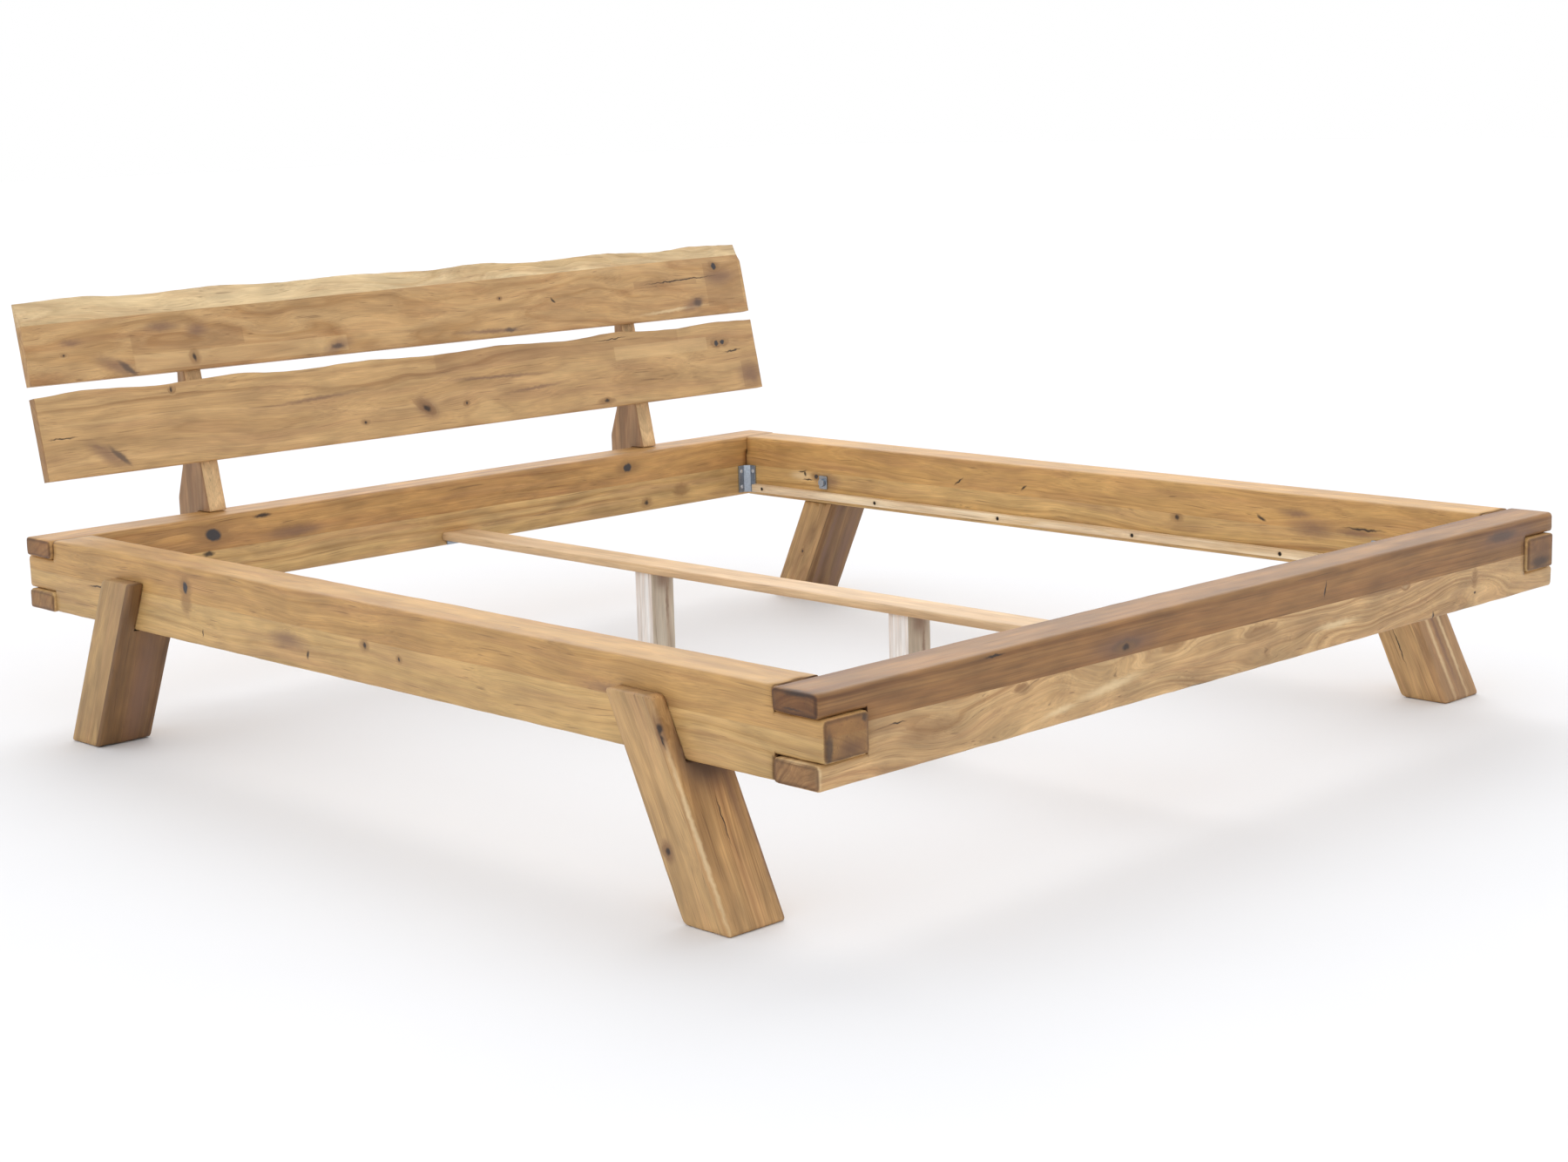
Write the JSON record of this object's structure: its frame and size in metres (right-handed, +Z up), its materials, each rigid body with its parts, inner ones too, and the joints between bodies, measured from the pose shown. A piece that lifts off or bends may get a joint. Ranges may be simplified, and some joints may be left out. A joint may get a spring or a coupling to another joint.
{
  "type": "wooden bed frame",
  "caption": "Oiled wild-oak beam bed frame with finger-jointed corners, splayed notched legs, a leaning plank headboard and ledges and a centre rail for a slatted base.",
  "frame": {"origin": "on the floor, below the middle of the object's own box", "axes": "+X across the bed to the right as seen from the foot, +Y from the foot to the head, +Z up"},
  "size_m": [2.05, 2.319, 0.8555],
  "materials": {
    "oiled_oak_beam": "oiled, satin",
    "oiled_oak_plank": "oiled, satin",
    "raw_pale_oak": "planed, untreated",
    "zinc_plated_steel": "zinc plated"
  },
  "bodies": {
    "root": {"side_rail_left": "oiled_oak_beam", "side_rail_right": "oiled_oak_beam", "head_rail": "oiled_oak_beam", "foot_rail": "oiled_oak_beam", "leg_foot_left": "oiled_oak_beam", "leg_foot_right": "oiled_oak_beam", "leg_head_left": "oiled_oak_beam", "leg_head_right": "oiled_oak_beam", "headboard_post_left": "oiled_oak_beam", "headboard_post_right": "oiled_oak_beam", "headboard_plank_lower": "oiled_oak_plank", "headboard_plank_upper": "oiled_oak_plank", "centre_rail": "oiled_oak_plank", "slat_ledge_left": "oiled_oak_plank", "slat_ledge_right": "oiled_oak_plank", "centre_foot_foot": "raw_pale_oak", "centre_foot_head": "raw_pale_oak", "centre_foot_dowel_screw_foot": "zinc_plated_steel", "centre_foot_dowel_screw_head": "zinc_plated_steel", "centre_rail_hanger_foot": "zinc_plated_steel", "centre_rail_hanger_head": "zinc_plated_steel", "corner_bracket_foot_left": "zinc_plated_steel", "corner_bracket_foot_right": "zinc_plated_steel", "corner_bracket_head_left": "zinc_plated_steel", "corner_bracket_head_right": "zinc_plated_steel", "leg_bolt_foot_left": "zinc_plated_steel", "leg_bolt_foot_right": "zinc_plated_steel", "leg_bolt_head_left": "zinc_plated_steel", "leg_bolt_head_right": "zinc_plated_steel", "leg_bolt_washer_foot_left": "zinc_plated_steel", "leg_bolt_washer_foot_right": "zinc_plated_steel", "leg_bolt_washer_head_left": "zinc_plated_steel", "leg_bolt_washer_head_right": "zinc_plated_steel", "ledge_screw_left_1": "zinc_plated_steel", "ledge_screw_left_2": "zinc_plated_steel", "ledge_screw_left_3": "zinc_plated_steel", "ledge_screw_left_4": "zinc_plated_steel", "ledge_screw_left_5": "zinc_plated_steel", "ledge_screw_left_6": "zinc_plated_steel", "ledge_screw_right_1": "zinc_plated_steel", "ledge_screw_right_2": "zinc_plated_steel", "ledge_screw_right_3": "zinc_plated_steel", "ledge_screw_right_4": "zinc_plated_steel", "ledge_screw_right_5": "zinc_plated_steel", "ledge_screw_right_6": "zinc_plated_steel", "post_bolt_left_1": "zinc_plated_steel", "post_bolt_left_2": "zinc_plated_steel", "post_bolt_right_1": "zinc_plated_steel", "post_bolt_right_2": "zinc_plated_steel", "plank_screw_lower_left_1": "zinc_plated_steel", "plank_screw_lower_left_2": "zinc_plated_steel", "plank_screw_lower_right_1": "zinc_plated_steel", "plank_screw_lower_right_2": "zinc_plated_steel", "plank_screw_upper_left_1": "zinc_plated_steel", "plank_screw_upper_left_2": "zinc_plated_steel", "plank_screw_upper_right_1": "zinc_plated_steel", "plank_screw_upper_right_2": "zinc_plated_steel"}
  },
  "joints": []
}
